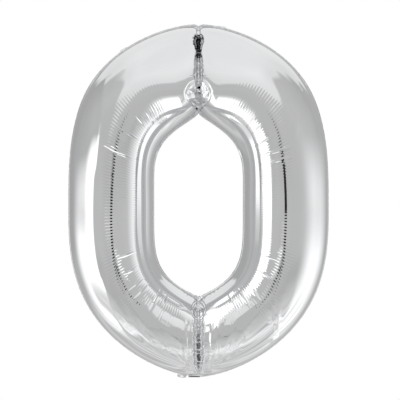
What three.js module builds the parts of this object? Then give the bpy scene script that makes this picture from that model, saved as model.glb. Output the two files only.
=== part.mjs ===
// An inflated foil number balloon, the digit 0, with its hanging tabs, inflation neck and self-sealing valve.
// Two sheets of metallised film are welded along an outer and an inner outline, which makes a ring-shaped tube.
// Millimetres, +Z up, the front faces -Y. The origin is the hanging point: the top centre of the outer weld.
import * as THREE from "three";
import { mergeVertices } from "three/addons/utils/BufferGeometryUtils.js";

// Driving dimensions of the whole balloon.
const HEIGHT = 860;
const WELD_WIDTH = 6; // how far a weld stands out from the tube
const FILM = 0.5; // drawn thickness of a foil sheet
const WELD = 0.8; // drawn thickness of two sheets welded together
const GAP = 0.3; // clearance between pieces that touch on the real balloon

// Half outlines of the skin. The half width at a height z is
// halfWidth * (1 - t ** flat) ** (1 / round), where t runs from 0 at the widest height to 1 at the end.
const OUTER = {
  halfWidth: 313.5,
  widest: -0.526 * HEIGHT,
  top: { z: -WELD_WIDTH, round: 1.68, flat: 3.34 },
  bottom: { z: 4 - HEIGHT, round: 1.56, flat: 2.71 },
};
const INNER = {
  halfWidth: 112,
  widest: -0.498 * HEIGHT,
  top: { z: -0.245 * HEIGHT, round: 0.65, flat: 4.76 },
  bottom: { z: -0.776 * HEIGHT, round: 1.03, flat: 4.93 },
};

// The tube's section and the two creases where the ring folds on itself.
const DEPTH_SHARE = 0.96; // half depth over half width
const SECTION_STEPS = 9;
const CREASE_KEEP = 0.5; // share of the depth left at the bottom of a crease
const CREASE_HALF = 20; // half width of a crease
// Station offsets beside a crease, then an even step round the rest of the ring.
const CREASE_STATIONS = [0, 9, 20, 45];
const STATION_STEP = 52;

// Welds: a short flat root, then a fin that lies flat at the top and folds back lower down.
const FIN_ROOT = 1.5;
const OUTER_FOLD = { angle: 65, from: 0.22, to: 0.36 };
const INNER_FOLD = { angle: 60, from: 0.2, to: 0.34 };

// Hanging tabs.
const TAB = { width: 22, length: 18, corner: 8, hole: 4.5, holeAt: 9.5, fromTip: 1.6 };
const TAB_PLACES = [
  { name: "hanging_tab_top_left", x: -178, onTop: true, tilt: 76 },
  { name: "hanging_tab_top_right", x: 55, onTop: true, tilt: 76 },
  { name: "hanging_tab_bottom_left", x: -40, onTop: false, tilt: 60 },
];

// Inflation neck, folded back behind the bottom edge, and the valve films inside it and inside the tube.
const NECK = { x: -10, width: 30, length: 72, corner: 5, y: 3 };
const VALVE = { film: 0.4, width: 24, corner: 2, mouthStart: 12, mouthEnd: 62, length: 105, above: 8 };
const STRIP = { width: 10, length: 80, thickness: 0.2 };

const SILVER = { color: 0xd9dadc, roughness: 0.08, metalness: 1 };
const WELD_SILVER = { color: 0xc9cacc, roughness: 0.18, metalness: 1 };
const CLEAR_FILM = { color: 0xdfe6ea, roughness: 0.25, metalness: 0, transparent: true, opacity: 0.5 };
const RELEASE_INK = { color: 0x9fb7c9, roughness: 0.6, metalness: 0 };

const radians = THREE.MathUtils.degToRad;
const smooth = THREE.MathUtils.smoothstep;
const OUT_OF_PLANE = new THREE.Vector3(0, 1, 0);

// Half width of an outline at a height.
function halfWidthAt(outline, z) {
  const end = z > outline.widest ? outline.top : outline.bottom;
  const t = Math.min(1, Math.abs(z - outline.widest) / Math.abs(end.z - outline.widest));
  return outline.halfWidth * (1 - t ** end.flat) ** (1 / end.round);
}

// The right half of an outline as a function of its share of arc length, 0 at the top and 1 at the bottom.
function halfOutline(outline) {
  const samples = 600;
  const points = [];
  for (let i = 0; i <= samples; i++) {
    const share = (1 - Math.cos((Math.PI * i) / samples)) / 2;
    const z = THREE.MathUtils.lerp(outline.top.z, outline.bottom.z, share);
    points.push(new THREE.Vector3(halfWidthAt(outline, z), 0, z));
  }
  const lengths = [0];
  for (let i = 1; i <= samples; i++) {
    lengths.push(lengths[i - 1] + points[i].distanceTo(points[i - 1]));
  }
  const total = lengths[samples];
  function pointAt(share) {
    const wanted = share * total;
    let i = 1;
    while (i < samples && lengths[i] < wanted) i++;
    const part = (wanted - lengths[i - 1]) / (lengths[i] - lengths[i - 1]);
    return points[i - 1].clone().lerp(points[i], Math.min(1, part));
  }
  return { pointAt, total };
}

const outerHalf = halfOutline(OUTER);
const innerHalf = halfOutline(INNER);

// Arc-length shares of the stations down one side of the ring, from the top crease to the bottom one.
function sideShares() {
  const near = CREASE_STATIONS.map((d) => d / outerHalf.total);
  const last = near[near.length - 1];
  const steps = Math.round(((1 - 2 * last) * outerHalf.total) / STATION_STEP);
  const middle = [];
  for (let i = 1; i < steps; i++) middle.push(THREE.MathUtils.lerp(last, 1 - last, i / steps));
  return [...near, ...middle, ...near.map((s) => 1 - s).reverse()];
}

// One rib of the ring: its outer and inner points, and the direction from the inner one to the outer one.
function ribAt(share, side) {
  const outer = outerHalf.pointAt(share);
  const inner = innerHalf.pointAt(share);
  outer.x *= side;
  inner.x *= side;
  const across = outer.clone().sub(inner);
  const creaseDistance = Math.abs(outer.x);
  const crease = CREASE_KEEP + (1 - CREASE_KEEP) * smooth(creaseDistance, 0, CREASE_HALF);
  return { share, outer, inner, half: across.length() / 2, direction: across.normalize(), crease };
}

// Ribs all the way round: down the right side, then up the left one.
const shares = sideShares();
const RIBS = [
  ...shares.map((s) => ribAt(s, 1)),
  ...shares.slice(1, -1).reverse().map((s) => ribAt(s, -1)),
];

function meshOf(name, geometry, finish) {
  const mesh = new THREE.Mesh(geometry, new THREE.MeshStandardMaterial(finish));
  mesh.name = name;
  return mesh;
}

// A closed body from rings of points: rows[i] is one closed section, and the rows run along the body.
// A looped body joins its last row to its first, and an open one has a flat cap on each end.
function sweptBody(rows, looped) {
  const perRow = rows[0].length;
  const positions = rows.flat().flatMap((p) => [p.x, p.y, p.z]);
  const indices = [];
  const spans = looped ? rows.length : rows.length - 1;
  for (let i = 0; i < spans; i++) {
    const next = (i + 1) % rows.length;
    for (let j = 0; j < perRow; j++) {
      const k = (j + 1) % perRow;
      const [a, b, c, d] = [i * perRow + j, i * perRow + k, next * perRow + k, next * perRow + j];
      indices.push(a, b, c, a, c, d);
    }
  }
  if (!looped) {
    const last = (rows.length - 1) * perRow;
    for (let j = 1; j < perRow - 1; j++) {
      indices.push(0, j + 1, j, last, last + j, last + j + 1);
    }
  }
  const geometry = new THREE.BufferGeometry();
  geometry.setAttribute("position", new THREE.Float32BufferAttribute(positions, 3));
  geometry.setIndex(indices);
  return mergeVertices(geometry);
}

// One foil sheet: a thin half tube that bulges to the front (face -1) or to the back (face 1).
function skinPanel(name, face) {
  const rim = WELD / 2 + GAP;
  function sectionPoint(rib, angle, inset) {
    const along = (rib.half - inset) * Math.cos(angle);
    const bulge = (rib.half * DEPTH_SHARE * rib.crease - inset) * Math.sin(angle);
    const middle = rib.outer.clone().add(rib.inner).multiplyScalar(0.5);
    return middle
      .addScaledVector(rib.direction, along)
      .addScaledVector(OUT_OF_PLANE, face * (rim + bulge));
  }
  const rows = RIBS.map((rib) => {
    const outside = [];
    const inside = [];
    for (let j = 0; j <= SECTION_STEPS; j++) {
      const angle = (Math.PI * j) / SECTION_STEPS;
      outside.push(sectionPoint(rib, angle, 0));
      inside.push(sectionPoint(rib, angle, FILM));
    }
    const section = [...outside, ...inside.reverse()];
    return face > 0 ? section.reverse() : section;
  });
  return meshOf(name, sweptBody(rows, true), SILVER);
}

// Where a weld's fin folds back, as an angle in radians, from its share of the way down.
function foldAt(fold, share) {
  return radians(fold.angle) * smooth(share, fold.from, fold.to);
}

// Points along the middle of a weld's section: its edge between the sheets, its bend and its tip.
function weldLine(rib, point, outward, fold) {
  const angle = foldAt(fold, rib.share);
  const bend = point.clone().addScaledVector(outward, FIN_ROOT);
  const lean = outward.clone().multiplyScalar(Math.cos(angle)).addScaledVector(OUT_OF_PLANE, Math.sin(angle));
  const tip = bend.clone().addScaledVector(lean, WELD_WIDTH - FIN_ROOT);
  return { root: point.clone().addScaledVector(outward, -FIN_ROOT), bend, tip };
}

// The closed section of a weld, of the drawn thickness. The reverse keeps its faces pointing out.
function weldSection(rib, point, outward, fold, flip) {
  const { root, bend, tip } = weldLine(rib, point, outward, fold);
  const straight = OUT_OF_PLANE.clone().multiplyScalar(WELD / 2);
  const angle = foldAt(fold, rib.share);
  const across = outward
    .clone()
    .multiplyScalar(-Math.sin(angle))
    .addScaledVector(OUT_OF_PLANE, Math.cos(angle))
    .multiplyScalar(WELD / 2);
  const mitre = straight.clone().add(across).normalize();
  mitre.multiplyScalar(WELD / 2 / mitre.dot(OUT_OF_PLANE));
  const section = [
    root.clone().sub(straight),
    bend.clone().sub(mitre),
    tip.clone().sub(across),
    tip.clone().add(across),
    bend.clone().add(mitre),
    root.clone().add(straight),
  ];
  return flip ? section.reverse() : section;
}

// The share of arc length at which the outer outline is |x| wide, on its top arc or its bottom one.
function outerShareAt(x, onTop) {
  let narrow = onTop ? 0 : 1;
  let wide = 0.5;
  for (let i = 0; i < 40; i++) {
    const middle = (narrow + wide) / 2;
    if (outerHalf.pointAt(middle).x < Math.abs(x)) narrow = middle;
    else wide = middle;
  }
  return narrow;
}

// The outer weld is open where the inflation neck passes through it.
function outerWeld() {
  const open = { from: NECK.x - NECK.width / 2 - GAP, to: NECK.x + NECK.width / 2 + GAP };
  const atBottom = (rib) => rib.share > 0.5;
  const kept = RIBS.filter((rib) => !atBottom(rib) || rib.outer.x < open.from || rib.outer.x > open.to);
  const first = kept.findIndex((rib) => atBottom(rib) && rib.outer.x < 0);
  const ribs = [
    ribAt(outerShareAt(open.from, false), -1),
    ...kept.slice(first),
    ...kept.slice(0, first),
    ribAt(outerShareAt(open.to, false), 1),
  ];
  const rows = ribs.map((rib) => weldSection(rib, rib.outer, rib.direction, OUTER_FOLD, true));
  return meshOf("outer_weld", sweptBody(rows, false), WELD_SILVER);
}

function innerWeld() {
  const rows = RIBS.map((rib) => {
    const inward = rib.direction.clone().negate();
    return weldSection(rib, rib.inner, inward, INNER_FOLD, false);
  });
  return meshOf("inner_weld", sweptBody(rows, true), WELD_SILVER);
}

// A flat plate in the XY plane with one round-cornered end at +Y, centred on x = 0.
function plate(width, length, corner, thickness, hole) {
  const half = width / 2;
  const shape = new THREE.Shape();
  shape.moveTo(-half, 0);
  shape.lineTo(half, 0);
  shape.lineTo(half, length - corner);
  shape.absarc(half - corner, length - corner, corner, 0, Math.PI / 2, false);
  shape.absarc(corner - half, length - corner, corner, Math.PI / 2, Math.PI, false);
  shape.closePath();
  if (hole) {
    shape.holes.push(new THREE.Path().absarc(0, hole.y, hole.r, 0, 2 * Math.PI, true));
  }
  const geometry = new THREE.ExtrudeGeometry(shape, {
    depth: thickness,
    bevelEnabled: false,
    curveSegments: 6,
  });
  geometry.translate(0, 0, -thickness / 2);
  return geometry;
}

// A tab welded from both sheets, hinged along the weld's tip and tilted back, with a hole for a ribbon.
function hangingTab({ name, x, onTop, tilt }) {
  const rib = ribAt(outerShareAt(x, onTop), Math.sign(x));
  const { tip } = weldLine(rib, rib.outer, rib.direction, OUTER_FOLD);
  const angle = radians(tilt);
  const lengthways = rib.direction
    .clone()
    .multiplyScalar(Math.cos(angle))
    .addScaledVector(OUT_OF_PLANE, Math.sin(angle));
  const sideways = lengthways.clone().cross(OUT_OF_PLANE).normalize();
  const normal = sideways.clone().cross(lengthways);
  const hole = { r: TAB.hole, y: TAB.holeAt };
  const mesh = meshOf(name, plate(TAB.width, TAB.length, TAB.corner, WELD, hole), WELD_SILVER);
  const place = new THREE.Matrix4().makeBasis(sideways, lengthways, normal);
  mesh.quaternion.setFromRotationMatrix(place);
  mesh.position.copy(tip).addScaledVector(lengthways, TAB.fromTip);
  return mesh;
}

// The neck's stack of sheets, from the lowest up. It lies back along +Y under the tube's bottom edge.
function inflationNeck() {
  const group = new THREE.Group();
  const layers = [
    { name: "neck_front_foil", thickness: FILM, finish: SILVER, film: false },
    { name: "valve_mouth_front_film", thickness: VALVE.film, finish: CLEAR_FILM, film: true },
    { name: "valve_mouth_back_film", thickness: VALVE.film, finish: CLEAR_FILM, film: true },
    { name: "neck_back_foil", thickness: FILM, finish: SILVER, film: false },
  ];
  let z = -HEIGHT;
  for (const { name, thickness, finish, film } of layers) {
    const length = film ? VALVE.mouthEnd - VALVE.mouthStart : NECK.length;
    const width = film ? VALVE.width : NECK.width;
    const corner = film ? VALVE.corner : NECK.corner;
    const mesh = meshOf(name, plate(width, length, corner, thickness), finish);
    mesh.position.set(NECK.x, NECK.y + (film ? VALVE.mouthStart : 0), z + thickness / 2);
    group.add(mesh);
    z += thickness + GAP;
  }
  return group;
}

// The films that run on up inside the tube, pressed shut by the gas, with the ink strip that keeps them apart.
function valveInside() {
  const group = new THREE.Group();
  const bottom = OUTER.bottom.z + VALVE.above;
  const filmY = STRIP.thickness / 2 + GAP + VALVE.film / 2;
  const pieces = [
    { name: "valve_front_film", width: VALVE.width, length: VALVE.length, thickness: VALVE.film, y: -filmY },
    { name: "valve_release_strip", width: STRIP.width, length: STRIP.length, thickness: STRIP.thickness, y: 0 },
    { name: "valve_back_film", width: VALVE.width, length: VALVE.length, thickness: VALVE.film, y: filmY },
  ];
  for (const { name, width, length, thickness, y } of pieces) {
    const finish = name === "valve_release_strip" ? RELEASE_INK : CLEAR_FILM;
    const mesh = meshOf(name, plate(width, length, VALVE.corner, thickness), finish);
    mesh.rotation.x = Math.PI / 2;
    mesh.position.set(NECK.x, y, bottom);
    group.add(mesh);
  }
  return group;
}

const balloon = new THREE.Group();
balloon.add(skinPanel("front_panel", -1));
balloon.add(skinPanel("back_panel", 1));
balloon.add(outerWeld());
balloon.add(innerWeld());
TAB_PLACES.forEach((place) => balloon.add(hangingTab(place)));
balloon.add(inflationNeck());
balloon.add(valveInside());

export default balloon;
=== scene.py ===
"""A silver foil number balloon, the digit 0: the looks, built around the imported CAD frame.

Metres, +Z up, the front faces -Y, and the origin is the top centre of the outer weld.
Each skin is one fine grid: stations round the ring by steps across the tube's section,
with finer steps beside the two creases, where the ring folds on itself.
No simulation runs: the inflated form, its puckers and its creases are displacement in code.
"""

import math

import bmesh
import bpy
import numpy as np
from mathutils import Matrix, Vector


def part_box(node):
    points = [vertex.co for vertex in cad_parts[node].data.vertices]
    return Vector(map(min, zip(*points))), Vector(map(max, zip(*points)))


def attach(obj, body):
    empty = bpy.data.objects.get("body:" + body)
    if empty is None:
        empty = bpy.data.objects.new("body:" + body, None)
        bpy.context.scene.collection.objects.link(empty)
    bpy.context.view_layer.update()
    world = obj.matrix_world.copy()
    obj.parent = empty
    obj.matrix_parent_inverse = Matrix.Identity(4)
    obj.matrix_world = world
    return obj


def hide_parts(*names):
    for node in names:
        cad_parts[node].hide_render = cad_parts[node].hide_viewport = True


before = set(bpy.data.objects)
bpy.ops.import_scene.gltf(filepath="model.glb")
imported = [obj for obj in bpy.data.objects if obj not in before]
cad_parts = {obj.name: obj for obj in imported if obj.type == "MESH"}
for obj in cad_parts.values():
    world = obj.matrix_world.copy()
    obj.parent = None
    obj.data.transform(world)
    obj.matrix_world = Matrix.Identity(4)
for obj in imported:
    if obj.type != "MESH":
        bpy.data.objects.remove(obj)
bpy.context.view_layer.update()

# -------------------- driving dimensions
FRONT_LOW, FRONT_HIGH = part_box("front_panel")
_, INNER_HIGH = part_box("inner_weld")
HEIGHT = 0.860
WELD_WIDTH = 0.006
FIN_ROOT = 0.0015
RIM = 0.00015  # half the gap between the two skins at a weld
DEPTH_SHARE = 0.96

OUTER = {
    "half_width": FRONT_HIGH.x,
    "widest": -0.526 * HEIGHT,
    "top": {"z": FRONT_HIGH.z, "round": 1.68, "flat": 3.34},
    "bottom": {"z": FRONT_LOW.z, "round": 1.56, "flat": 2.71},
}
INNER = {
    "half_width": INNER_HIGH.x - FIN_ROOT,
    "widest": -0.498 * HEIGHT,
    "top": {"z": -0.245 * HEIGHT, "round": 0.65, "flat": 4.76},
    "bottom": {"z": -0.776 * HEIGHT, "round": 1.03, "flat": 4.93},
}

# The outer outline dips to a notch above the top crease.
NOTCH = {"half_width": 0.013, "depth": 0.0045, "sharpness": 1.6}

# Near the top, and most near the middle, the tube's crown leans towards the hole.
TOP_LEAN = {"amount": 0.30, "x": (0.20, 0.05), "share": (0.4, 0.2)}

# The grid of a skin. Beside a crease its steps across the section are FINER times as many.
PUCKERS = 120  # on each side
STATIONS_PER_PUCKER = 5
CREASE_SHARE = 0.05  # share of a side's length that counts as beside a crease
CREASE_STATIONS = 50
SIDE_STATIONS = round((1 - 2 * CREASE_SHARE) * PUCKERS * STATIONS_PER_PUCKER)
SECTION_STEPS = 52
FINER = 4

MM = 0.001


# -------------------- the ring's outlines
def smooth(value, low, high):
    """0 at low, 1 at high, smooth between; high may be the smaller."""
    t = np.clip((np.asarray(value, float) - low) / (high - low), 0, 1)
    return t * t * (3 - 2 * t)


def half_width_at(outline, z):
    """An outline is two half superellipses, one above and one below its widest height."""
    end_top, end_bottom = outline["top"], outline["bottom"]
    upper = z > outline["widest"]
    end = np.where(upper, end_top["z"], end_bottom["z"])
    flat = np.where(upper, end_top["flat"], end_bottom["flat"])
    power = np.where(upper, 1 / end_top["round"], 1 / end_bottom["round"])
    t = np.clip((z - outline["widest"]) / (end - outline["widest"]), 0, 1)
    return outline["half_width"] * (1 - t**flat) ** power


def half_outline(outline, samples=4000):
    """Points down the outline's right half, with their shares of its arc length."""
    sweep = (1 - np.cos(np.linspace(0, np.pi, samples))) / 2
    z = outline["top"]["z"] + sweep * (outline["bottom"]["z"] - outline["top"]["z"])
    x = half_width_at(outline, z)
    steps = np.hypot(np.diff(x), np.diff(z))
    lengths = np.concatenate([[0], np.cumsum(steps)])
    return {"share": lengths / lengths[-1], "x": x, "z": z, "length": lengths[-1]}


OUTER_HALF = half_outline(OUTER)
INNER_HALF = half_outline(INNER)


def outline_point(half, share):
    """x and z at a share of the arc length."""
    x = np.interp(share, half["share"], half["x"])
    z = np.interp(share, half["share"], half["z"])
    if half is OUTER_HALF:
        notch = np.clip(1 - x / NOTCH["half_width"], 0, 1) ** NOTCH["sharpness"]
        z = z - NOTCH["depth"] * notch * (z > OUTER["widest"])
    return x, z


# -------------------- small shape functions
def hump(value, centre, half):
    """1 at the centre, 0 from half away on, smooth between."""
    t = np.clip(1 - np.abs(value - centre) / half, 0, 1)
    return t * t * (3 - 2 * t)


def random_height(x, z, size, seed):
    """Smooth random height between about -1 and 1, in bumps of about the given size."""
    lattice = np.random.default_rng(seed).uniform(0, 2 * np.pi, (64, 64))
    column, row = np.floor(x / size).astype(int), np.floor(z / size).astype(int)
    across, up = x / size - column, z / size - row

    def corner(i, k):
        angle = lattice[(column + i) % 64, (row + k) % 64]
        return np.cos(angle) * (across - i) + np.sin(angle) * (up - k)

    blend_x = across * across * (3 - 2 * across)
    blend_z = up * up * (3 - 2 * up)
    low = corner(0, 0) * (1 - blend_x) + corner(1, 0) * blend_x
    high = corner(0, 1) * (1 - blend_x) + corner(1, 1) * blend_x
    return 1.6 * (low * (1 - blend_z) + high * blend_z)


def crumple(x, z, size, seed):
    """Creased foil: sharp folds with flatter facets between them, about 1 at most."""
    coarse = 1 - 3 * np.abs(random_height(x, z, size, seed))
    fine = 1 - 3 * np.abs(random_height(x, z, size * 0.45, seed + 1))
    return 0.7 * coarse + 0.3 * fine


def fold_height(x, z, points, half_width, sharpness):
    """A ridge of height 1 along a line of points in millimetres, fading out towards both ends."""
    line = np.array(points, float) * MM
    steps = np.hypot(*np.diff(line, axis=0).T)
    before = np.concatenate([[0], np.cumsum(steps)])
    height = np.zeros(np.shape(x))
    for (ax, az), (bx, bz), start, step in zip(line[:-1], line[1:], before, steps):
        along = np.clip(((x - ax) * (bx - ax) + (z - az) * (bz - az)) / step**2, 0, 1)
        distance = np.hypot(x - ax - along * (bx - ax), z - az - along * (bz - az))
        part = (start + along * step) / before[-1]
        ends = np.sin(np.pi * (part * 0.96 + 0.02)) ** 0.9
        ridge = np.clip(1 - distance / (half_width * MM), 0, 1) ** sharpness
        height = np.maximum(height, ridge * ends)
    return height


# -------------------- the tube's smooth form
def tube_point(share, angle, side):
    """x, depth and z of the smooth tube at shares down one side and angles across it."""
    ox, oz = outline_point(OUTER_HALF, share)
    ix, iz = outline_point(INNER_HALF, share)
    half = np.hypot(ox - ix, oz - iz) / 2
    dx, dz = (ox - ix) / (2 * half), (oz - iz) / (2 * half)
    lean = TOP_LEAN["amount"] * smooth(np.abs(ox), *TOP_LEAN["x"]) * smooth(share, *TOP_LEAN["share"])
    along = half * (np.cos(angle) - lean * np.sin(angle) ** 2)
    depth = half * DEPTH_SHARE * np.sin(angle)
    return side * ((ox + ix) / 2 + along * dx), depth, (oz + iz) / 2 + along * dz


def tube_vector(share, angle, side, face):
    """The smooth tube's points on the front (face -1) or the back (face 1)."""
    x, depth, z = tube_point(share, angle, side)
    return np.stack([x, face * depth, z], axis=-1)


def outward(share, angle, side, face):
    """Unit normals of the smooth tube."""
    step = 1e-4
    ring = tube_vector(np.minimum(share + step, 1), angle, side, face)
    ring = ring - tube_vector(np.maximum(share - step, 0), angle, side, face)
    across = tube_vector(share, np.minimum(angle + step, np.pi), side, face)
    across = across - tube_vector(share, np.maximum(angle - step, 0), side, face)
    normal = side * face * np.cross(ring, across)
    return normal / (np.linalg.norm(normal, axis=-1, keepdims=True) + 1e-12)


# -------------------- creases, puckers and folds
# The two creases down the middle: z, half width of the opening and drop at its middle, all in mm.
TOP_CREASE = np.array([
    (0, 2, 1), (-12, 3, 4), (-27, 5, 8), (-34, 12, 18), (-42, 15, 26), (-55, 13, 28),
    (-68, 8, 26), (-77, 4, 24), (-83, 6, 22), (-88, 9, 14), (-100, 10, 12), (-135, 12, 12),
    (-144, 11, 9), (-150, 8, 3), (-158, 7, 1), (-205, 6, 1), (-212, 5, 1),
])
BOTTOM_CREASE = np.array([
    (-664, 5, 1), (-672, 11, 3), (-700, 12, 3), (-709, 10, 2), (-716, 13, 7), (-726, 14, 11),
    (-760, 14, 15), (-800, 14, 17), (-824, 12, 16), (-838, 7, 12), (-850, 4, 6), (-857, 3, 2),
])
CREASE_MARGIN = 8  # a crease stops this far past its table's ends, in mm
CREASE_WANDER = {"reach": 1.2, "size": 0.011}  # how far it winds, in mm, and in bumps of what size
CREASE_EDGE = {"wave": 0.22, "size": 0.006}
CREASE_FOLDS = {"amount": 0.45, "size": 0.010}
WALL = {"share": 0.55, "foot": 0.55}  # share of the drop at the crease's walls, and where they reach it
SLIT = {"share": 0.45, "half_width": 0.3, "sharpness": 0.8}  # the rest of the drop, in the very middle
PAINTED_SHADE_DEPTH = 0.020  # a crease's painted shade is its depth over this

# The crumpled lumps at the two ends of the hole, in metres; their heights are in mm.
EGG = {"z": -0.1785, "half_width": 0.0300, "half_height": 0.0310}
KNOB = {"z": -0.688, "half_width": 0.0165, "half_height": 0.021}
LUMP = {"groove": 2.0, "sink": 2.4, "dome": 2.0, "facets": 1.3, "facet_size": 0.019}
# Painted shade laid on the two lumps, on top of the crease's painted shade.
LUMP_PAINTED_SHADE = 0.58

# Combs of short puckers beside the creases: where they are, in metres, and their pitch and height in mm.
COMBS = (
    {"low": -0.150, "high": -0.072, "near": 0.010, "far": 0.030, "pitch": 5.2, "height": 0.28},
    {"low": -0.826, "high": -0.748, "near": 0.027, "far": 0.042, "pitch": 7.4, "height": 0.16},
)
COMB_SLANT = 0.18

# The crumpled ledge on each side of the bottom slit; its drop and its crumpling are in mm.
LEDGE = {
    "top": -0.706, "bottom": -0.846, "inner_edge": 0.011, "outer_edge": 0.0285, "drop": 2.2, "crumple": 0.3,
}

# Puckers over the inner half of the tube: height in mm, and angles across the section in degrees,
# from 0 at the outer weld by 90 at the crown to 180 at the inner weld.
PUCKER = {"height": 0.3, "first": 100, "last": 131}
# Share of the way down a side, and how tall the puckers are there.
PUCKER_PROFILE = (
    (0.08, 0), (0.14, 0.9), (0.20, 1.0), (0.30, 0.75), (0.72, 0.8), (0.80, 1.0), (0.90, 1.3), (0.95, 0),
)
RIPPLE_PROFILE = ((0.10, 0), (0.16, 1), (0.78, 1), (0.86, 0))
RIPPLE_HEIGHT = 0.13  # mm
TALLER_PUCKERS = {"at": 0.835, "half": 0.07, "amount": 1.6}  # low on the right
PLAIN_CROWN = {"at": 0.49, "half": 0.16}  # the stretch on the right that has no ripple

# Gathers at the welds: angle and reach in degrees, pitch and height in mm.
GATHERS = (
    {"angle": 0.0, "length": OUTER_HALF["length"], "pitch": 11.0, "height": 0.7, "reach": 15},
    {"angle": 180.0, "length": INNER_HALF["length"], "pitch": 7.0, "height": 0.35, "reach": 14},
)

# The groove round the hole, between the puckers and the smooth inner wall: degrees and mm.
GROOVE = {"angle": 133.2, "half_angle": 6.8, "depth": 1.8}
# The ring sinks towards the two creases: half width in metres, depth in mm.
MIDDLE_SINK = {"half_width": 0.055, "depth": 4.5}

# Single creases, in mm: x and z of both ends, height, half width. These cross the inner half of the tube.
CROSS_CREASES = (
    (-158, -217, -121, -258, 0.765, 3.75), (-192, -258, -127, -293, 0.765, 3.75),
    (-215, -311, -140, -335, 0.68, 3.75), (-120, -224, -108, -248, 1.02, 3),
    (-109, -210, -94, -241, 1.02, 3), (-98, -210, -89, -246, 1.02, 3),
    (-190, -565, -139, -547, 0.85, 3.75), (-172, -601, -143, -589, 0.68, 3.75),
    (-172, -650, -121, -611, 1.02, 4.5), (-160, -673, -108, -620, 1.02, 4.5),
    (-115, -692, -88, -640, 1.19, 4.5), (-84, -682, -75, -651, 0.85, 3),
    (117, -253, 134, -228, 1.02, 3.75), (129, -269, 151, -248, 0.85, 3.75),
    (134, -303, 172, -279, 1.02, 4.5), (141, -326, 222, -303, 0.935, 4.5),
    (151, -343, 222, -329, 0.85, 4.5), (147, -557, 178, -567, 0.765, 3.75),
    (133, -589, 172, -614, 0.85, 3.75), (72, -649, 82, -684, 1.02, 3.75),
    (94, -639, 115, -676, 1.02, 3.75), (120, -630, 146, -668, 0.85, 3.75),
)
# Three short kinks nearer the outline.
KINKS = ((-86, -768, -68, -790, 1.87, 3.75), (168, -768, 197, -752, 2.72, 5.25), (-4, -30, 8, -40, 1.02, 3))
CREASE_SHARPNESS = 1.3

# Long soft folds that fan out to the bottom crease and down the shoulders, in mm: points, half width, height.
LONG_FOLDS = (
    (((-226, -610), (-205, -679), (-177, -732), (-150, -764)), 26, 3.36),
    (((-214, -640), (-181, -694), (-143, -748)), 12, 1.68),
    (((-165, -690), (-142, -736), (-113, -768), (-78, -788)), 13, 1.89),
    (((-150, -655), (-91, -717), (-36, -757)), 9, 0.945),
    (((-108, -706), (-68, -742), (-30, -778)), 10, 1.05),
    (((-167, -665), (-120, -736), (-62, -790)), 12, 1.26),
    (((-106, -690), (-60, -722), (-32, -742)), 6, 0.63),
    (((92, -676), (49, -717), (40, -772), (35, -805)), 12, 2.73),
    (((151, -660), (89, -708), (58, -790)), 12, 1.47),
    (((172, -648), (117, -724), (76, -792)), 12, 1.47),
    (((186, -637), (172, -689), (177, -741)), 14, 1.89),
    (((203, -640), (186, -694), (190, -740)), 12, 1.47),
    (((48, -808), (75, -790), (104, -772)), 9, 1.89),
    (((-222, -125), (-226, -203), (-232, -286), (-238, -369)), 16, 2.1),
    (((252, -160), (237, -222), (224, -285)), 14, 1.47),
)
FOLD_SHARPNESS = 1.8

FRONT_SEED, BACK_SEED = 500, 900  # the two skins are wrinkled alike, with other random parts


def table_at(table, z, column):
    """A column of a crease's table at heights z, in metres."""
    rising = table[::-1]
    return np.interp(z / MM, rising[:, 0], rising[:, column]) * MM


def crease_drop(x, z, seed):
    """How far the skin lies below the smooth tube in the two creases, in metres."""
    drop = np.zeros(np.shape(x))
    for index, table in enumerate((TOP_CREASE, BOTTOM_CREASE)):
        inside = (z / MM <= table[0, 0] + CREASE_MARGIN) & (z / MM >= table[-1, 0] - CREASE_MARGIN)
        winding = random_height(z, z * 0, CREASE_WANDER["size"], seed + 3 * index)
        wavy_edge = 1 + CREASE_EDGE["wave"] * random_height(x, z, CREASE_EDGE["size"], seed + 40 + index)
        across = np.abs(x - CREASE_WANDER["reach"] * MM * winding) / (table_at(table, z, 1) * wavy_edge)
        slit = np.clip(1 - across / SLIT["half_width"], 0, 1) ** SLIT["sharpness"]
        profile = smooth(across, 1.0, WALL["foot"]) * WALL["share"] + SLIT["share"] * slit
        crumpled = crumple(x, z, CREASE_FOLDS["size"], seed + 10 + index)
        folds = 1 + CREASE_FOLDS["amount"] * crumpled * smooth(across, 1.1, 0.8)
        drop = np.where(inside, np.maximum(drop, table_at(table, z, 2) * profile * folds), drop)
    return drop


def lump_reach(x, z, lump, seed):
    """0 at the middle of a lump, which narrows downwards, and 1 at its wavy edge."""
    up = (z - lump["z"]) / lump["half_height"]
    narrowing = 1 - 0.22 * smooth(up, 0.2, -1.0)
    wavy_edge = 1 + 0.10 * random_height(x, z, 0.021, seed + 5)
    return np.hypot(x / (lump["half_width"] * narrowing), up) * wavy_edge


def lump_height(x, z, lump, seed):
    """A crumpled lump where the ring folds, ringed by a groove."""
    out = lump_reach(x, z, lump, seed)
    inside = smooth(out, 1.0, 0.7)
    groove = hump(out, 1.0, 0.15)
    facets = crumple(x, z, LUMP["facet_size"], seed)
    dome = -LUMP["sink"] + LUMP["dome"] * hump(out, 0.0, 0.9) + LUMP["facets"] * facets
    return (-LUMP["groove"] * groove + inside * dome) * MM


def comb_height(x, z, seed):
    """Short puckers that point at the creases from both sides, like the teeth of a comb."""
    height = np.zeros(np.shape(x))
    for comb in COMBS:
        low, high, near, far = comb["low"], comb["high"], comb["near"], comb["far"]
        slant = z + COMB_SLANT * (np.abs(x) - near)
        uneven = random_height(z, x * 0, 0.02, seed)
        teeth = np.abs(np.sin(np.pi * slant / (comb["pitch"] * MM) + uneven)) - 0.6
        ends = smooth(z, low - 0.004, low + 0.006) * smooth(z, high + 0.004, high - 0.006)
        reach = smooth(np.abs(x), far, near + 0.002) * smooth(np.abs(x), near - 0.004, near)
        height += comb["height"] * MM * teeth * ends * reach
    return height


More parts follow.
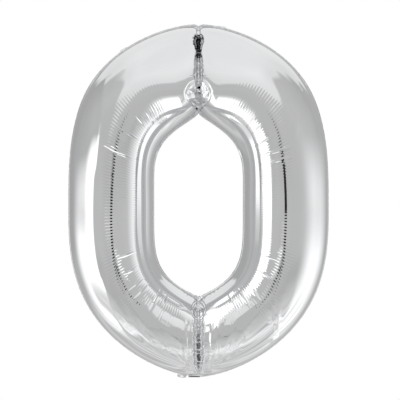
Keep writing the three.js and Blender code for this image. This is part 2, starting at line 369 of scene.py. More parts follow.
def ledge_height(x, z, seed):
    """The crumpled ledge on each side of the bottom slit."""
    aside, top, bottom = np.abs(x), LEDGE["top"], LEDGE["bottom"]
    level = smooth(z, bottom, bottom + 0.024) * smooth(z, top, top - 0.024)
    slow = 0.10 * random_height(z, x * 0, 0.030, seed + 2)
    quick = 0.05 * random_height(x, z, 0.011, seed + 3)
    edge = LEDGE["outer_edge"] * (1 + slow + quick)
    band = smooth(aside, edge + 0.003, edge - 0.004) * smooth(aside, LEDGE["inner_edge"], 0.016)
    return band * level * (-LEDGE["drop"] + LEDGE["crumple"] * crumple(x, z, 0.020, seed)) * MM


def pucker_centres():
    """The middle of each pucker, as a share of the way down a side."""
    return (np.arange(PUCKERS) + 0.5) / PUCKERS


def pucker_height(share, angle, side, seed):
    """Fine radial puckers over the inner half of the tube: each has its own height and reach."""
    rng = np.random.default_rng(seed + (side > 0))
    where = np.clip(share * PUCKERS, 0, PUCKERS - 1e-6)
    index = where.astype(int)
    part = where - index
    tall = np.interp(pucker_centres(), *zip(*PUCKER_PROFILE))
    if side > 0:
        low_down = hump(pucker_centres(), TALLER_PUCKERS["at"], TALLER_PUCKERS["half"])
        tall *= 1 + TALLER_PUCKERS["amount"] * low_down
    tall = tall * rng.uniform(0.55, 1.45, PUCKERS)
    first = (PUCKER["first"] + rng.uniform(-10, 8, PUCKERS))[index]
    last = (PUCKER["last"] + rng.uniform(-3, 2, PUCKERS))[index]
    degrees = np.degrees(angle)
    reach = smooth(degrees, first, first + 16) * smooth(degrees, last + 3, last - 3)
    strength = 0.8 + 0.4 * smooth(degrees, 100, 126)
    crest = (1 - np.abs(2 * part - 1) ** 1.5) - 0.55
    flank = smooth(np.minimum(part, 1 - part), 0, 0.08)
    profile = crest * flank - 0.55 * (1 - flank)
    return PUCKER["height"] * MM * tall[index] * reach * strength * profile


def crown_ripple(share, angle, side, seed):
    """A faint ripple along the crown, one crest to each pucker."""
    tall = np.interp(pucker_centres(), *zip(*RIPPLE_PROFILE))
    if side > 0:
        tall *= 1 - hump(pucker_centres(), PLAIN_CROWN["at"], PLAIN_CROWN["half"])
    tall = tall * np.random.default_rng(seed + (side > 0)).uniform(0.7, 1.3, PUCKERS)
    wave = np.interp(share, pucker_centres(), tall) * np.cos(2 * np.pi * share * PUCKERS)
    degrees = np.degrees(angle)
    return RIPPLE_HEIGHT * MM * wave * smooth(degrees, 76, 88) * smooth(degrees, 112, 96)


def weld_gathers(share, angle, side, seed):
    """Short gathers where the skin meets the outer and the inner weld."""
    height = np.zeros(np.shape(angle))
    for gather in GATHERS:
        count = int(gather["length"] / (gather["pitch"] * MM))
        amount = np.random.default_rng(seed + int(gather["angle"]) + (side > 0)).uniform(0.2, 1.0, count)
        where = np.clip(share * count, 0, count - 1e-6)
        index = where.astype(int)
        wave = np.sin(np.pi * (where - index)) ** 2
        near = np.abs(np.degrees(angle) - gather["angle"])
        reach = smooth(near, gather["reach"], 2) * smooth(near, 0, 1.5)
        height += gather["height"] * MM * amount[index] * wave * reach
    return height


def single_creases(x, z):
    """The single creases and the long soft folds."""
    height = np.zeros(np.shape(x))
    for ax, az, bx, bz, tall, half in CROSS_CREASES + KINKS:
        height += tall * MM * fold_height(x, z, ((ax, az), (bx, bz)), half, CREASE_SHARPNESS)
    for points, half, tall in LONG_FOLDS:
        height += tall * MM * fold_height(x, z, points, half, FOLD_SHARPNESS)
    return height


def relief(x, z, share, angle, side, face):
    """Height of every wrinkle above the smooth tube, along its normal; x and side as seen from that face."""
    seed = FRONT_SEED if face < 0 else BACK_SEED
    x, side = -face * x, -face * side
    degrees = np.degrees(angle)
    height = pucker_height(share, angle, side, seed)
    height += crown_ripple(share, angle, side, seed + 10)
    height += weld_gathers(share, angle, side, seed + 20)
    height += single_creases(x, z)
    away_from_creases = smooth(share, 0.035, 0.09) * smooth(share, 0.965, 0.91)
    height -= GROOVE["depth"] * MM * hump(degrees, GROOVE["angle"], GROOVE["half_angle"]) * away_from_creases
    height -= MIDDLE_SINK["depth"] * MM * np.clip(1 - np.abs(x) / MIDDLE_SINK["half_width"], 0, 1) ** 2
    height += lump_height(x, z, EGG, seed + 60) + lump_height(x, z, KNOB, seed + 70)
    height += comb_height(x, z, seed + 80) + ledge_height(x, z, seed + 90)
    inner_wall = hump(degrees, 180, 34) * (smooth(share, 0.16, 0.04) + smooth(share, 0.86, 0.95))
    height += 0.8 * MM * inner_wall * crumple(x, z, 0.010, seed + 30)
    height += 0.25 * MM * random_height(x, z, 0.11, seed + 31)
    return height * smooth(np.sin(angle), 0, 0.03)


def painted_shade(x, z, angle, drop):
    """How much shade is painted on the foil: deep in the creases, on the lumps and along the single creases.
    """
    shade = drop / PAINTED_SHADE_DEPTH
    for lump in (EGG, KNOB):
        uneven = 1 + 0.4 * random_height(x, z, 0.013, 7)
        shade += LUMP_PAINTED_SHADE * smooth(lump_reach(x, z, lump, FRONT_SEED + 60), 1.0, 0.8) * uneven
    degrees = np.degrees(angle)
    inner_half = smooth(degrees, 102, 110) * smooth(degrees, 140, 133)
    # Thin lines of painted shade along the single creases, over the inner half of the tube.
    for ax, az, bx, bz, _, _ in CROSS_CREASES:
        shade += 1.1 * inner_half * fold_height(x, z, ((ax, az), (bx, bz)), 2.6, 1.0)
    return shade


def skin_point(share, angle, side, face):
    """Points on the wrinkled skin, and how much shade is painted on the foil there."""
    x, depth, z = tube_point(share, angle, side)
    height = relief(x, z, share, angle, side, face)
    drop = np.minimum(crease_drop(x, z, FRONT_SEED if face < 0 else BACK_SEED), 0.7 * depth)
    place = np.stack([x, face * (RIM + depth - drop), z], axis=-1)
    place += outward(share, angle, side, face) * height[..., None]
    place[..., 1] = face * np.maximum(face * place[..., 1], RIM)
    return place, painted_shade(-face * x, z, angle, drop)


# -------------------- the skins
def ring_stations():
    """Shares down the right side and back up the left, each with its side and whether it is fine."""
    beside = np.linspace(0, CREASE_SHARE, CREASE_STATIONS + 1)
    between = np.linspace(CREASE_SHARE, 1 - CREASE_SHARE, SIDE_STATIONS + 1)[1:-1]
    down = [(share, True) for share in beside]
    down += [(share, False) for share in between]
    down += [(1 - share, True) for share in beside[::-1]]
    right = [(share, fine, 1) for share, fine in down]
    left = [(share, fine, -1) for share, fine in down[-2:0:-1]]
    return right + left


def join_rows(first, second):
    """Faces between two rows of vertex indices, either of which may have FINER (4) times the steps."""
    if len(first) == len(second):
        return list(zip(first, first[1:], second[1:], second))
    flip = len(first) > len(second)
    coarse, fine = (second, first) if flip else (first, second)
    faces = []
    for j in range(len(coarse) - 1):
        a, b = coarse[j], coarse[j + 1]
        f = fine[FINER * j:FINER * (j + 1) + 1]
        faces += [(a, f[1], f[0]), (a, f[2], f[1]), (a, b, f[2]), (b, f[3], f[2]), (b, f[4], f[3])]
    return [face[::-1] for face in faces] if flip else faces


def new_piece(name, vertices, faces):
    """A smooth-shaded mesh object in the scene."""
    mesh = bpy.data.meshes.new(name)
    mesh.from_pydata(vertices, [], faces)
    mesh.validate()
    mesh.shade_smooth()
    piece = bpy.data.objects.new(name, mesh)
    bpy.context.scene.collection.objects.link(piece)
    return piece


def skin_mesh(name, face):
    """One skin, closed all round the ring: the front (face -1) or the back (face 1)."""
    rows, places, shades, total = [], [], [], 0
    for side in (1, -1):
        stations = [(share, fine) for share, fine, its_side in ring_stations() if its_side == side]
        own = [(share, SECTION_STEPS * (FINER if fine else 1)) for share, fine in stations]
        share = np.concatenate([np.full(steps + 1, at) for at, steps in own])
        angle = np.concatenate([np.linspace(0, np.pi, steps + 1) for _, steps in own])
        place, shade = skin_point(share, angle, side, face)
        places.append(place)
        shades.append(shade)
        for _, steps in own:
            rows.append(range(total, total + steps + 1))
            total += steps + 1
    faces = []
    for first, second in zip(rows, rows[1:] + rows[:1]):
        faces += join_rows(first, second)
    if face > 0:
        faces = [corners[::-1] for corners in faces]
    skin = new_piece(name, np.concatenate(places).tolist(), faces)
    # The painted shade goes to the foil material as a point attribute.
    attribute = skin.data.attributes.new("painted_crease_shade", "FLOAT", "POINT")
    attribute.data.foreach_set("value", np.concatenate(shades).astype(np.float32))
    return skin


# -------------------- welds, tabs, neck and valve
# Each weld's fin folds back by an angle below the shoulders, from one share of the way down to another.
# ripple and crumple are what it has beside the creases, on top of what it has everywhere.
OUTER_FIN = {"angle": 65, "from": 0.22, "to": 0.36, "ripple": 0.2, "crumple": 0.1}
INNER_FIN = {"angle": 60, "from": 0.20, "to": 0.34, "ripple": 1.3, "crumple": 0.7}
WELD_THICKNESS = 0.0003
WELD_STATIONS = 800
NECK_X = -0.010
NECK_GAP = 0.0153  # half the opening in the outer weld where the neck comes out

# A tab's hole is its radius, and hole_at the distance from the tab's root to the hole's middle.
TAB = {
    "width": 0.022, "length": 0.018, "corner": 0.008, "hole": 0.0045, "hole_at": 0.0095, "from_tip": 0.0016,
}
TAB_RINGS = 9
TAB_SPOKES = 96
FILM_ROWS = 60
FILM_COLUMNS = 26
TABS = (
    {"node": "hanging_tab_top_left", "body": "tab_top_left", "x": -0.178, "on_top": True, "tilt": 76},
    {"node": "hanging_tab_top_right", "body": "tab_top_right", "x": 0.055, "on_top": True, "tilt": 76},
    {"node": "hanging_tab_bottom_left", "body": "tab_bottom_left", "x": -0.040, "on_top": False, "tilt": 60},
)


def weld_line(at_outer, fin, share, side):
    """A weld's middle at each share: its edge on the skin, its bend, its tip, and the ways they lean."""
    ox, oz = outline_point(OUTER_HALF, share)
    ix, iz = outline_point(INNER_HALF, share)
    direction = np.stack([side * (ox - ix), 0 * share, oz - iz], axis=-1)
    direction /= np.linalg.norm(direction, axis=-1, keepdims=True)
    if not at_outer:
        direction = -direction
    x, z = (ox, oz) if at_outer else (ix, iz)
    edge = np.stack([side * x, 0 * share, z], axis=-1)
    angle = np.radians(fin["angle"]) * smooth(share, fin["from"], fin["to"])[..., None]
    back = np.array([0.0, 1.0, 0.0])
    lean = direction * np.cos(angle) + back * np.sin(angle)
    normal = -direction * np.sin(angle) + back * np.cos(angle)
    bend = edge + direction * FIN_ROOT
    tip = bend + lean * (WELD_WIDTH - FIN_ROOT)
    return {"edge": edge, "bend": bend, "tip": tip, "lean": lean, "normal": normal, "direction": direction}


def grid_faces(index):
    """Quads between neighbouring rows and columns of a grid of vertex indices."""
    corners = (index[:-1, :-1], index[:-1, 1:], index[1:, 1:], index[1:, :-1])
    return np.stack(corners, axis=-1).reshape(-1, 4)


def fin_sections(at_outer, fin, share, side, seed):
    """Closed cross sections of a fin, and the x of its edge, at shares down one side."""
    line = weld_line(at_outer, fin, share, side)
    run = share * (OUTER_HALF if at_outer else INNER_HALF)["length"] * side
    wild = smooth(share, 0.10, 0.02) + smooth(share, 0.93, 0.985)
    wave = random_height(run, 0 * run + seed, 0.0085, seed) * (0.35 + fin["ripple"] * wild) * MM
    wave += crumple(run, 0 * run + seed, 0.006, seed + 5) * (0.1 + fin["crumple"] * wild) * MM
    ragged = 1 + 0.05 * random_height(run, 0 * run + 3, 0.012, seed + 9)
    points = [line["edge"] - line["direction"] * 0.0006, line["bend"]]
    for part in (1 / 3, 2 / 3, 1):
        reach = line["lean"] * ((WELD_WIDTH - FIN_ROOT) * part * ragged)[:, None]
        points.append(line["bend"] + reach + line["normal"] * (wave * part**1.3)[:, None])
    middle = np.stack(points, axis=1)
    thickness = line["normal"][:, None, :] * (WELD_THICKNESS / 2)
    return np.concatenate([middle - thickness, (middle + thickness)[:, ::-1]], axis=1), line["edge"][:, 0]


def weld_mesh(name, at_outer, fin, seed):
    """A thin rippled fin that runs round the ring; the outer one is open where the neck passes."""
    shares = np.linspace(0, 1, WELD_STATIONS + 1)
    loops, kept = [], []
    for share, side in ((shares, 1), (shares[-2:0:-1], -1)):
        sections, edge_x = fin_sections(at_outer, fin, share, side, seed)
        loops.append(sections)
        kept.append(~(at_outer & (share > 0.5) & (np.abs(edge_x - NECK_X) < NECK_GAP)))
    loops, kept = np.concatenate(loops), np.concatenate(kept)
    count, around = loops.shape[:2]
    first = 0 if kept.all() else int(np.argmin(kept))
    order = [(first + i) % count for i in range(count) if kept[(first + i) % count]]
    index = np.arange(len(order) * around).reshape(-1, around)
    caps = [index[0].tolist(), index[-1, ::-1].tolist()]
    if kept.all():
        index = np.vstack([index, index[:1]])
        caps = []
    faces = grid_faces(np.hstack([index, index[:, :1]])).tolist() + caps
    weld = new_piece(name, loops[order].reshape(-1, 3).tolist(), faces)
    fix_normals(weld)
    return weld


def fix_normals(piece):
    """Turns every face of a closed piece outwards."""
    mesh = bmesh.new()
    mesh.from_mesh(piece.data)
    bmesh.ops.recalc_face_normals(mesh, faces=mesh.faces)
    mesh.to_mesh(piece.data)
    mesh.free()


def shell_mesh(name, axes, u, v, height, half, wrapped):
    """A thin closed shell over a grid of places u, v, with its height and half its thickness at each.

    axes are its origin and the ways of u, v and height; a wrapped grid's last column meets its first.
    """
    origin, across, along, normal = axes
    middle = origin + u[..., None] * across + v[..., None] * along + height[..., None] * normal
    layers = [(middle + face * half[..., None] * normal).reshape(-1, 3) for face in (-1, 1)]
    top = u.size
    index = np.arange(top).reshape(u.shape)
    if wrapped:
        index = np.hstack([index, index[:, :1]])
    faces = [grid_faces(index), top + grid_faces(index)[:, ::-1]]
    rims = [index[0], index[-1, ::-1]]
    if not wrapped:
        rims += [index[::-1, 0], index[:, -1]]
    for rim in rims:
        faces.append(grid_faces(np.stack([rim, top + rim], axis=-1)))
    shell = new_piece(name, np.concatenate(layers).tolist(), np.concatenate(faces).tolist())
    fix_normals(shell)
    return shell


def tab_outline(angle):
    """How far a tab's edge is from its hole's middle, in every direction in its plane."""
    half, corner = TAB["width"] / 2, TAB["corner"]
    above, below = TAB["length"] - TAB["hole_at"], TAB["hole_at"]
    across, up = np.abs(np.sin(angle)), np.cos(angle)
    with np.errstate(divide="ignore", invalid="ignore"):
        to_side = np.where(across > 1e-9, half / across, 1)
        to_end = np.where(up > 1e-9, above / up, 1)
        to_root = np.where(up < -1e-9, below / -up, 1)
    reach = np.minimum(np.minimum(to_side, to_end), to_root)
    # the two far corners are arcs about (arc_x, arc_y)
    arc_x, arc_y = half - corner, above - corner
    along = across * arc_x + up * arc_y
    inside = np.maximum(along**2 - (arc_x**2 + arc_y**2 - corner**2), 0)
    on_arc = (across * reach > arc_x) & (up * reach > arc_y)
    return np.where(on_arc, np.minimum(reach, along + np.sqrt(inside)), reach)


def share_at(x, on_top):
    """The share of arc length at which the outer outline is |x| wide."""
    shares = np.linspace(0, 0.5, 20001) if on_top else np.linspace(1, 0.5, 20001)
    return float(np.interp(abs(x), outline_point(OUTER_HALF, shares)[0], shares))


def tab_axes(place):
    """A tab's origin at its root, and its ways across, along and out of its plane."""
    share = share_at(place["x"], place["on_top"])
    line = weld_line(True, OUTER_FIN, np.array([share]), math.copysign(1, place["x"]))
    tilt = math.radians(place["tilt"])
    back = np.array([0, 1, 0])
    lengthways = line["direction"][0] * math.cos(tilt) + back * math.sin(tilt)
    sideways = np.cross(lengthways, back)
    sideways /= np.linalg.norm(sideways)
    origin = line["tip"][0] + lengthways * TAB["from_tip"]
    return origin, sideways, lengthways, np.cross(sideways, lengthways)


def tab_mesh(place, seed):
    """A thin tab with a round hole: slightly curled, with a low welded ridge round the hole."""
    root_corner = np.arctan2(TAB["width"] / 2, -TAB["hole_at"])
    turn = np.linspace(0, 2 * np.pi, TAB_SPOKES, endpoint=False)
    turn = np.sort(np.concatenate([turn, [root_corner, -root_corner % (2 * np.pi)]]))
    part = np.linspace(0, 1, TAB_RINGS + 1)[:, None]
    reach = TAB["hole"] + (tab_outline(turn) - TAB["hole"]) * part
    u, v = reach * np.sin(turn), TAB["hole_at"] + reach * np.cos(turn)
    bow = np.sin(np.pi * np.clip(v / TAB["length"], 0, 1)) * np.cos(u / TAB["width"] * np.pi)
    height = (0.25 * bow + 0.12 * random_height(u, v, 0.005, seed) + 0.10 * hump(part, 0.25, 0.2)) * MM
    half = np.full(u.shape, WELD_THICKNESS / 2)
    half[[0, -1]] *= 0.6
    return shell_mesh(place["node"] + "_film", tab_axes(place), u, v, height, half, wrapped=True)


def film_sheet(name, root, film, seed):
    """A thin sheet that runs along from the middle of its root, gently waved, with a round-cornered end."""
    (width, length), corner = film["size"], film["corner"]
    v = length * np.sin(np.pi / 2 * np.linspace(0, 1, FILM_ROWS + 1))[:, None]
    rounding = np.maximum(0, v - (length - corner))
    half_width = width / 2 - corner + np.sqrt(np.maximum(0, corner**2 - rounding**2))
    u, v = np.broadcast_arrays(half_width * np.linspace(-1, 1, FILM_COLUMNS + 1), v)
    fade = np.sin(np.pi * np.minimum(1, v / length + 0.04))
    height = film["wave"] * random_height(u, v, 0.011, seed) * fade
    half = np.full(u.shape, film["thickness"] / 4)
    half[1:-1, 1:-1] = film["thickness"] / 2
    across, along = np.array([1, 0, 0]), np.array(film["along"])
    axes = (np.array(root), across, along, np.cross(across, along))
    return shell_mesh(name, axes, u, v, height, half, wrapped=False)


# -------------------- materials
FOIL_TINTS = ((0.90, 0.905, 0.915), (0.95, 0.955, 0.965))
# The dark tint that painted shade pulls the foil's colour towards.
PAINTED_SHADE_TINT = (0.16, 0.165, 0.17, 1)
WELD_TINTS = ((0.76, 0.765, 0.78), (0.90, 0.905, 0.915))
VALVE_TINTS = ((0.78, 0.84, 0.88), (0.90, 0.94, 0.96))
INK_TINTS = ((0.28, 0.38, 0.47), (0.40, 0.52, 0.62))


class Nodes:
    """Short calls for building a node tree."""

    def __init__(self, tree):
        self.tree = tree

    def math(self, operation, *values, clamp=False):
        node = self.tree.nodes.new("ShaderNodeMath")
        node.operation = operation
        node.use_clamp = clamp
        for socket, value in zip(node.inputs, values):
            if isinstance(value, (int, float)):
                socket.default_value = value
            else:
                self.tree.links.new(value, socket)
        return node.outputs[0]

    def ramp(self, value, low, high):
        """0 at low, 1 at high, smooth between; high may be the smaller."""
        node = self.tree.nodes.new("ShaderNodeMapRange")
        node.interpolation_type = "SMOOTHSTEP"
        node.inputs["From Min"].default_value = low
        node.inputs["From Max"].default_value = high
        self.tree.links.new(value, node.inputs["Value"])
        return node.outputs["Result"]

    def window(self, value, rise, fall):
        """1 between two soft edges, each given as its (0, 1) pair of values."""
        return self.math("MULTIPLY", self.ramp(value, *rise), self.ramp(value, *fall))

    def mix(self, share, a, b):
        """a where share is 0 and b where it is 1."""
        rest = self.math("SUBTRACT", 1, share)
        return self.math("ADD", self.math("MULTIPLY", rest, a), self.math("MULTIPLY", share, b))

    def own_place(self):
        """Places in the piece's own coordinates."""
        return self.tree.nodes.new("ShaderNodeTexCoord").outputs["Object"]

    def noise(self, scale, detail=2.0):
        """Noise from 0 to 1 on the piece, scale in bumps per metre."""
        return self.noise_at(self.own_place(), scale, detail)

    def second_mirror(self, first_depth):
        """1 where the lens sees something by two mirrorings or more, 0 by one or none.

        first_depth is the ray depth after one mirroring: 1 on a mesh and 2 on the world.
        """
        depth = self.tree.nodes.new("ShaderNodeLightPath").outputs["Ray Depth"]
        return self.math("GREATER_THAN", depth, first_depth + 0.5)

    def noise_at(self, where, scale, detail):
        node = self.tree.nodes.new("ShaderNodeTexNoise")
        node.inputs["Scale"].default_value = scale
        node.inputs["Detail"].default_value = detail
        self.tree.links.new(where, node.inputs["Vector"])
        return node.outputs["Fac"]

    def cells(self, scale):
        node = self.tree.nodes.new("ShaderNodeTexVoronoi")
        node.inputs["Scale"].default_value = scale
        self.tree.links.new(self.own_place(), node.inputs["Vector"])
        return node.outputs["Distance"]

    def colour(self, share, dark, light):
        node = self.tree.nodes.new("ShaderNodeMix")
        node.data_type = "RGBA"
        node.inputs["A"].default_value = (*dark, 1)
        node.inputs["B"].default_value = (*light, 1)
        self.tree.links.new(share, node.inputs["Factor"])
        return node.outputs["Result"]

    def bump(self, height, distance, strength=1.0):
        node = self.tree.nodes.new("ShaderNodeBump")
        node.inputs["Distance"].default_value = distance
        node.inputs["Strength"].default_value = strength
        self.tree.links.new(height, node.inputs["Height"])
        return node.outputs["Normal"]


def principled(name):
    """A new material and its Principled shader."""
    material = bpy.data.materials.new(name)
    material.use_nodes = True
    return material, material.node_tree.nodes["Principled BSDF"]


def new_material(name, metallic, roughness_range, tints, scales, bump_distance):
    """A Principled material whose colour, roughness and surface vary over the piece."""
    material, shader = principled(name)
    n = Nodes(material.node_tree)
    shader.inputs["Metallic"].default_value = metallic
    link = material.node_tree.links.new
    broad, fine = scales
    link(n.colour(n.noise(broad), *tints), shader.inputs["Base Color"])
    link(n.mix(n.noise(fine, 4.0), *roughness_range), shader.inputs["Roughness"])
    link(n.bump(n.noise(fine * 0.6), bump_distance), shader.inputs["Normal"])
    return material, n, shader


def silver_foil():
    """Mirror film: nearly even, a little smudged, and with shade painted into its colour in the creases, on
    the lumps and along the single creases.
    """
    material, n, shader = new_material("silver_foil", 1.0, (0.02, 0.07), FOIL_TINTS, (7, 55), 0.00004)
    tree = material.node_tree
    shade = tree.nodes.new("ShaderNodeAttribute")
    shade.attribute_name = "painted_crease_shade"
    # Painted shade: the foil's colour is multiplied towards the dark tint where the shade attribute is high.
    painted_shade_mix = tree.nodes.new("ShaderNodeMix")
    painted_shade_mix.data_type = "RGBA"
    painted_shade_mix.blend_type = "MULTIPLY"
    tree.links.new(n.ramp(shade.outputs["Fac"], 0.45, 1.35), painted_shade_mix.inputs["Factor"])
    tree.links.new(shader.inputs["Base Color"].links[0].from_socket, painted_shade_mix.inputs["A"])
    painted_shade_mix.inputs["B"].default_value = PAINTED_SHADE_TINT
    tree.links.new(painted_shade_mix.outputs["Result"], shader.inputs["Base Color"])
    return material


def weld_foil():
    """Welded film: duller, with the fine print of the hot bar."""
    material, n, shader = new_material("weld_foil", 1.0, (0.10, 0.22), WELD_TINTS, (40, 180), 0.0001)
    bar_print = n.math("ADD", n.cells(900), n.noise(220))
    material.node_tree.links.new(n.bump(bar_print, 0.00012, 0.6), shader.inputs["Normal"])
    return material


def valve_film():
    """Clear, slightly blue plastic film."""
    material, _, shader = new_material("valve_film", 0.0, (0.16, 0.34), VALVE_TINTS, (60, 300), 0.00008)
    shader.inputs["Transmission Weight"].default_value = 0.8
    shader.inputs["IOR"].default_value = 1.5
    return material


def release_ink():
    """Matt blue-grey ink."""
    material, _, shader = new_material("release_ink", 0.0, (0.5, 0.75), INK_TINTS, (150, 700), 0.00003)
    shader.inputs["Specular IOR Level"].default_value = 0.3
    return material


# -------------------- studio
# Brightness of what the foil mirrors, 1 for white.
LEVEL = {
    "front": 0.52, "left": 0.40, "right": 0.44, "skirting": 0.47, "floor": 0.60, "lit_floor": 0.80,
    "left_panel": 1.2, "left_panel_foot": 0.74, "right_panel": 1.08, "overhead_edge": 0.76, "overhead": 0.84,
    "second_mirror": 0.50, "lens": 1.0,
}


def room_level(n, azimuth, elevation):
    """The room's front, sides, skirting and floor."""
    aside, left = n.math("ABSOLUTE", azimuth), n.math("MULTIPLY", azimuth, -1)
    level = n.mix(n.ramp(left, 50, 140), LEVEL["front"], LEVEL["left"])
    level = n.mix(n.ramp(azimuth, 50, 150), level, LEVEL["right"])
    level = n.mix(n.window(elevation, (-24, -14), (-4, -12)), level, LEVEL["skirting"])
    level = n.mix(n.ramp(elevation, -14, -32), level, LEVEL["floor"])
    lit = n.math("MULTIPLY", n.window(elevation, (-58, -52), (-38, -45)), n.ramp(aside, 75, 50))
    return n.mix(lit, level, LEVEL["lit_floor"])


def add_panels(n, azimuth, elevation, level):
    """Two big panels at the sides, whose feet rise towards the front; the left one has a sharp front edge."""
    aside, left = n.math("ABSOLUTE", azimuth), n.math("MULTIPLY", azimuth, -1)
    bottom = n.math("ADD", -20, n.math("MULTIPLY", n.ramp(aside, 42, 84), -30))
    over_bottom = n.ramp(n.math("SUBTRACT", elevation, bottom), -5, 6)
    top = n.math("MULTIPLY", n.ramp(left, 76, 56), 8)
    below_top = n.ramp(n.math("SUBTRACT", elevation, top), 5, -6)
    left_height = n.math("MULTIPLY", over_bottom, below_top)
    left_panel = n.math("MULTIPLY", left_height, n.window(left, (44, 46.5), (126, 88)))
    foot = n.math("MULTIPLY", n.ramp(elevation, -18, -30), n.ramp(left, 94, 80))
    level = n.mix(left_panel, level, n.mix(foot, LEVEL["left_panel"], LEVEL["left_panel_foot"]))
    right_height = n.math("MULTIPLY", over_bottom, n.ramp(elevation, 12, -12))
    right_panel = n.math("MULTIPLY", right_height, n.window(azimuth, (40, 78), (150, 104)))
    return n.mix(right_panel, level, LEVEL["right_panel"])


def add_overhead(n, where, azimuth, elevation, level):
    """Overhead, from an uneven front edge just above the horizon to one well up at the sides."""
    aside = n.math("ABSOLUTE", azimuth)
    rise = n.math("MULTIPLY", n.ramp(aside, 0, 70), 39)
    fall = n.math("MULTIPLY", n.ramp(aside, 90, 180), 31)
    edge = n.math("ADD", n.math("SUBTRACT", rise, fall), 5)
    edge = n.math("ADD", edge, n.mix(n.noise_at(where, 3.0, 0.0), -9, 9))
    above = n.math("SUBTRACT", elevation, edge)
    overhead = n.mix(n.ramp(above, 0, 30), LEVEL["overhead_edge"], LEVEL["overhead"])
    return n.mix(n.ramp(above, -2.5, 2.5), level, overhead)


def add_unevenness(n, where, azimuth, elevation, level):
    """The room is a little uneven, and its floor is streaked."""
    level = n.math("MULTIPLY", level, n.mix(n.noise_at(where, 1.6, 1.0), 0.90, 1.10))
    streaks = n.tree.nodes.new("ShaderNodeCombineXYZ")
    n.tree.links.new(n.math("MULTIPLY", azimuth, 0.09), streaks.inputs[0])
    n.tree.links.new(n.math("MULTIPLY", elevation, 0.03), streaks.inputs[1])
    streak = n.mix(n.ramp(n.noise_at(streaks.outputs[0], 1.0, 2.0), 0.35, 0.65), 0.84, 1.24)
    return n.mix(n.ramp(elevation, -24, -40), level, n.math("MULTIPLY", level, streak))


def studio_world():
    """What the foil mirrors: a pale room with two big soft panels. The lens itself sees white.

    Azimuth is 0 towards the lens and grows to the right as the lens sees it; both angles are in degrees.
    """
    world = bpy.data.worlds.new("studio")
    world.use_nodes = True
    tree = world.node_tree
    n = Nodes(tree)
    tree.nodes.clear()
    where = tree.nodes.new("ShaderNodeTexCoord").outputs["Generated"]
    split = tree.nodes.new("ShaderNodeSeparateXYZ")
    tree.links.new(where, split.inputs[0])
    x, y, z = split.outputs
    degrees = 180 / math.pi
    azimuth = n.math("MULTIPLY", n.math("ARCTAN2", x, n.math("MULTIPLY", y, -1)), degrees)
    elevation = n.math("MULTIPLY", n.math("ARCSINE", z), degrees)
    level = room_level(n, azimuth, elevation)
    level = add_panels(n, azimuth, elevation, level)
    level = add_overhead(n, where, azimuth, elevation, level)
    level = add_unevenness(n, where, azimuth, elevation, level)
    level = n.mix(n.second_mirror(2), level, LEVEL["second_mirror"])
    is_lens = tree.nodes.new("ShaderNodeLightPath").outputs["Is Camera Ray"]
    level = n.mix(is_lens, level, LEVEL["lens"])
    background = tree.nodes.new("ShaderNodeBackground")
    tree.links.new(level, background.inputs["Color"])
    output = tree.nodes.new("ShaderNodeOutputWorld")
    tree.links.new(background.outputs[0], output.inputs["Surface"])
    bpy.context.scene.world = world


def studio_sheet(name, corners, material):
    """A flat piece of the studio."""
    sheet = new_piece(name, corners, [tuple(range(len(corners)))])
    sheet.data.materials.append(material)
    sheet.visible_shadow = False
    return sheet


def clear_from_behind(tree, shader):
    """Gives a material's output a shader on the front and nothing on the back."""
    clear = tree.nodes.new("ShaderNodeBsdfTransparent")
    sides = tree.nodes.new("ShaderNodeMixShader")
    tree.links.new(tree.nodes.new("ShaderNodeNewGeometry").outputs["Backfacing"], sides.inputs[0])
    tree.links.new(shader.outputs[0], sides.inputs[1])
    tree.links.new(clear.outputs[0], sides.inputs[2])
    output = tree.nodes.get("Material Output") or tree.nodes.new("ShaderNodeOutputMaterial")
    tree.links.new(sides.outputs[0], output.inputs["Surface"])


def floor():
    """A pale round floor, clear from below so that the balloon shows from there too."""
    radius, z, corners = 2.3, -1.30, 128
    paper, shader = principled("floor_paper")
    shader.inputs["Base Color"].default_value = (0.85, 0.85, 0.85, 1)
    shader.inputs["Roughness"].default_value = 0.9
    shader.inputs["Emission Color"].default_value = (1, 1, 1, 1)
    shader.inputs["Emission Strength"].default_value = 0.3
    clear_from_behind(paper.node_tree, shader)
    turns = [2 * math.pi * i / corners for i in range(corners)]
    rim = [(radius * math.cos(t), radius * math.sin(t), z) for t in turns]
    plane = studio_sheet("floor", rim, paper)
    plane.visible_glossy = False
    plane.visible_shadow = True


def dark_stand():
    """The dark stand under the lens. It shows as the thin black line down each crown."""
    half, y, bottom, top = 0.16, -3.05, -1.45, -0.42
    cloth, shader = principled("black_cloth")
    shader.inputs["Base Color"].default_value = (0.004, 0.004, 0.004, 1)
    corners = [(-half, y, bottom), (half, y, bottom), (half, y, top), (-half, y, top)]
    studio_sheet("dark_stand", corners, cloth).visible_camera = False


def glowing_card(name, corners, level_at):
    """A lit card that shows from its front only; level_at gives its brightness at its own x, y and z."""
    material, _ = principled(name)
    tree = material.node_tree
    tree.nodes.clear()
    n = Nodes(tree)
    split = tree.nodes.new("ShaderNodeSeparateXYZ")
    tree.links.new(n.own_place(), split.inputs[0])
    emission = tree.nodes.new("ShaderNodeEmission")
    level = n.mix(n.second_mirror(1), level_at(n, *split.outputs), LEVEL["second_mirror"])
    tree.links.new(level, emission.inputs["Color"])
    clear_from_behind(tree, emission)
    card = studio_sheet(name, corners, material)
    card.visible_camera = False
    card.visible_diffuse = False


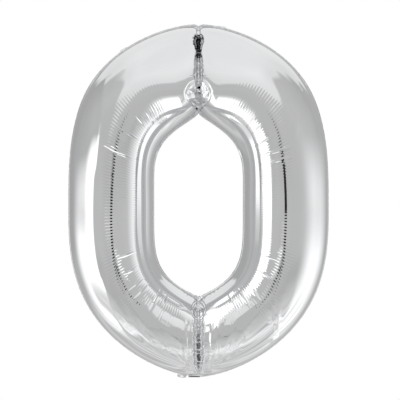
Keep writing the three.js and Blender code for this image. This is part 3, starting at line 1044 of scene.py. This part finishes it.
def reflector_cards():
    """Small cards close to the balloon, each placed for one part of the ring that mirrors it."""

    def bounce(n, x, y, z):
        return n.mix(n.ramp(y, -0.92, -0.60), 0.60, 1.2)

    def flag(n, x, y, z):
        return n.mix(n.ramp(x, 0.00, -0.05), 0.52, 1.2)

    def left(n, x, y, z):
        return n.mix(n.ramp(z, -0.24, -0.32), 0.75, 1.2)

    def right(n, x, y, z):
        return n.mix(n.ramp(y, -0.40, -0.15), 0.53, 0.95)

    def shade(n, x, y, z):
        return n.mix(n.ramp(z, -0.24, -0.20), 0.50, 0.52)

    def flat(half, near, far, z):
        return [(-half, far, z), (half, far, z), (half, near, z), (-half, near, z)]

    def upright(x, near, far, low, high):
        return [(x, near, low), (x, near, high), (x, far, high), (x, far, low)]

    def facing(half, y, low, high):
        return [(half, y, low), (-half, y, low), (-half, y, high), (half, y, high)]

    glowing_card("bounce_card", flat(0.125, -0.13, -0.92, -0.62), bounce)
    glowing_card("flag_card", flat(0.25, -0.13, -0.64, -0.30)[::-1], flag)
    glowing_card("left_card", upright(-0.13, -0.16, -0.44, -0.64, -0.22), left)
    glowing_card("right_card", upright(0.13, -0.16, -0.42, -0.66, -0.22)[::-1], right)
    glowing_card("upper_shade", facing(0.160, -0.50, -0.37, -0.18), shade)
    glowing_card("lower_shade", facing(0.165, -0.50, -0.84, -0.655), shade)


def photo_camera():
    """A level camera; field is the width that it sees at the balloon."""
    distance, centre_x, centre_z, field = 3.0, 0.0036, -0.4282, 0.9732
    data = bpy.data.cameras.new("camera")
    data.sensor_width = 36
    data.lens = data.sensor_width * distance / field
    camera = bpy.data.objects.new("camera", data)
    camera.location = (centre_x, -distance, centre_z)
    camera.rotation_euler = (math.pi / 2, 0, 0)
    bpy.context.scene.collection.objects.link(camera)
    bpy.context.scene.camera = camera


# -------------------- the balloon
MATERIALS = {
    "silver_foil": silver_foil(),
    "weld_foil": weld_foil(),
    "valve_film": valve_film(),
    "release_ink": release_ink(),
}


def finish_piece(piece, body, node, slot):
    piece.data.materials.append(MATERIALS[slot])
    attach(piece, body)
    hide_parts(node)


finish_piece(skin_mesh("front_skin", -1), "envelope", "front_panel", "silver_foil")
finish_piece(skin_mesh("back_skin", 1), "envelope", "back_panel", "silver_foil")
finish_piece(weld_mesh("outer_weld_fin", True, OUTER_FIN, 31), "envelope", "outer_weld", "weld_foil")
finish_piece(weld_mesh("inner_weld_fin", False, INNER_FIN, 47), "envelope", "inner_weld", "weld_foil")
for index, place in enumerate(TABS):
    finish_piece(tab_mesh(place, 60 + index), place["body"], place["node"], "weld_foil")

# The neck's films run backwards from the bottom weld, and the valve's stand up in the tube.
BACK, UP = (0, 1, 0), (0, 0, 1)
NECK_FOIL = {"along": BACK, "size": (0.030, 0.072), "corner": 0.005, "thickness": 0.00025, "wave": 0.00018}
MOUTH_FILM = {"along": BACK, "size": (0.024, 0.050), "corner": 0.002, "thickness": 0.00015, "wave": 0.00012}
VALVE_FILM = {"along": UP, "size": (0.024, 0.105), "corner": 0.002, "thickness": 0.00015, "wave": 0.00012}
INK_STRIP = {"along": UP, "size": (0.010, 0.080), "corner": 0.002, "thickness": 0.00010, "wave": 0.00005}
# node, material, body, y and z of the root, film, random seed
FILMS = (
    ("neck_front_foil", "silver_foil", "neck", 0.003, -0.85975, NECK_FOIL, 70),
    ("valve_mouth_front_film", "valve_film", "neck", 0.015, -0.85900, MOUTH_FILM, 71),
    ("valve_mouth_back_film", "valve_film", "neck", 0.015, -0.85830, MOUTH_FILM, 72),
    ("neck_back_foil", "silver_foil", "neck", 0.003, -0.85755, NECK_FOIL, 73),
    ("valve_front_film", "valve_film", "valve_front_lip", -0.0006, -0.848, VALVE_FILM, 80),
    ("valve_release_strip", "release_ink", "valve_back_lip", 0.0, -0.848, INK_STRIP, 81),
    ("valve_back_film", "valve_film", "valve_back_lip", 0.0006, -0.848, VALVE_FILM, 82),
)
for node, slot, body, y, z, film, seed in FILMS:
    finish_piece(film_sheet(node + "_sheet", (NECK_X, y, z), film, seed), body, node, slot)

studio_world()
floor()
dark_stand()
reflector_cards()
photo_camera()
bpy.context.scene.view_settings.view_transform = "Standard"
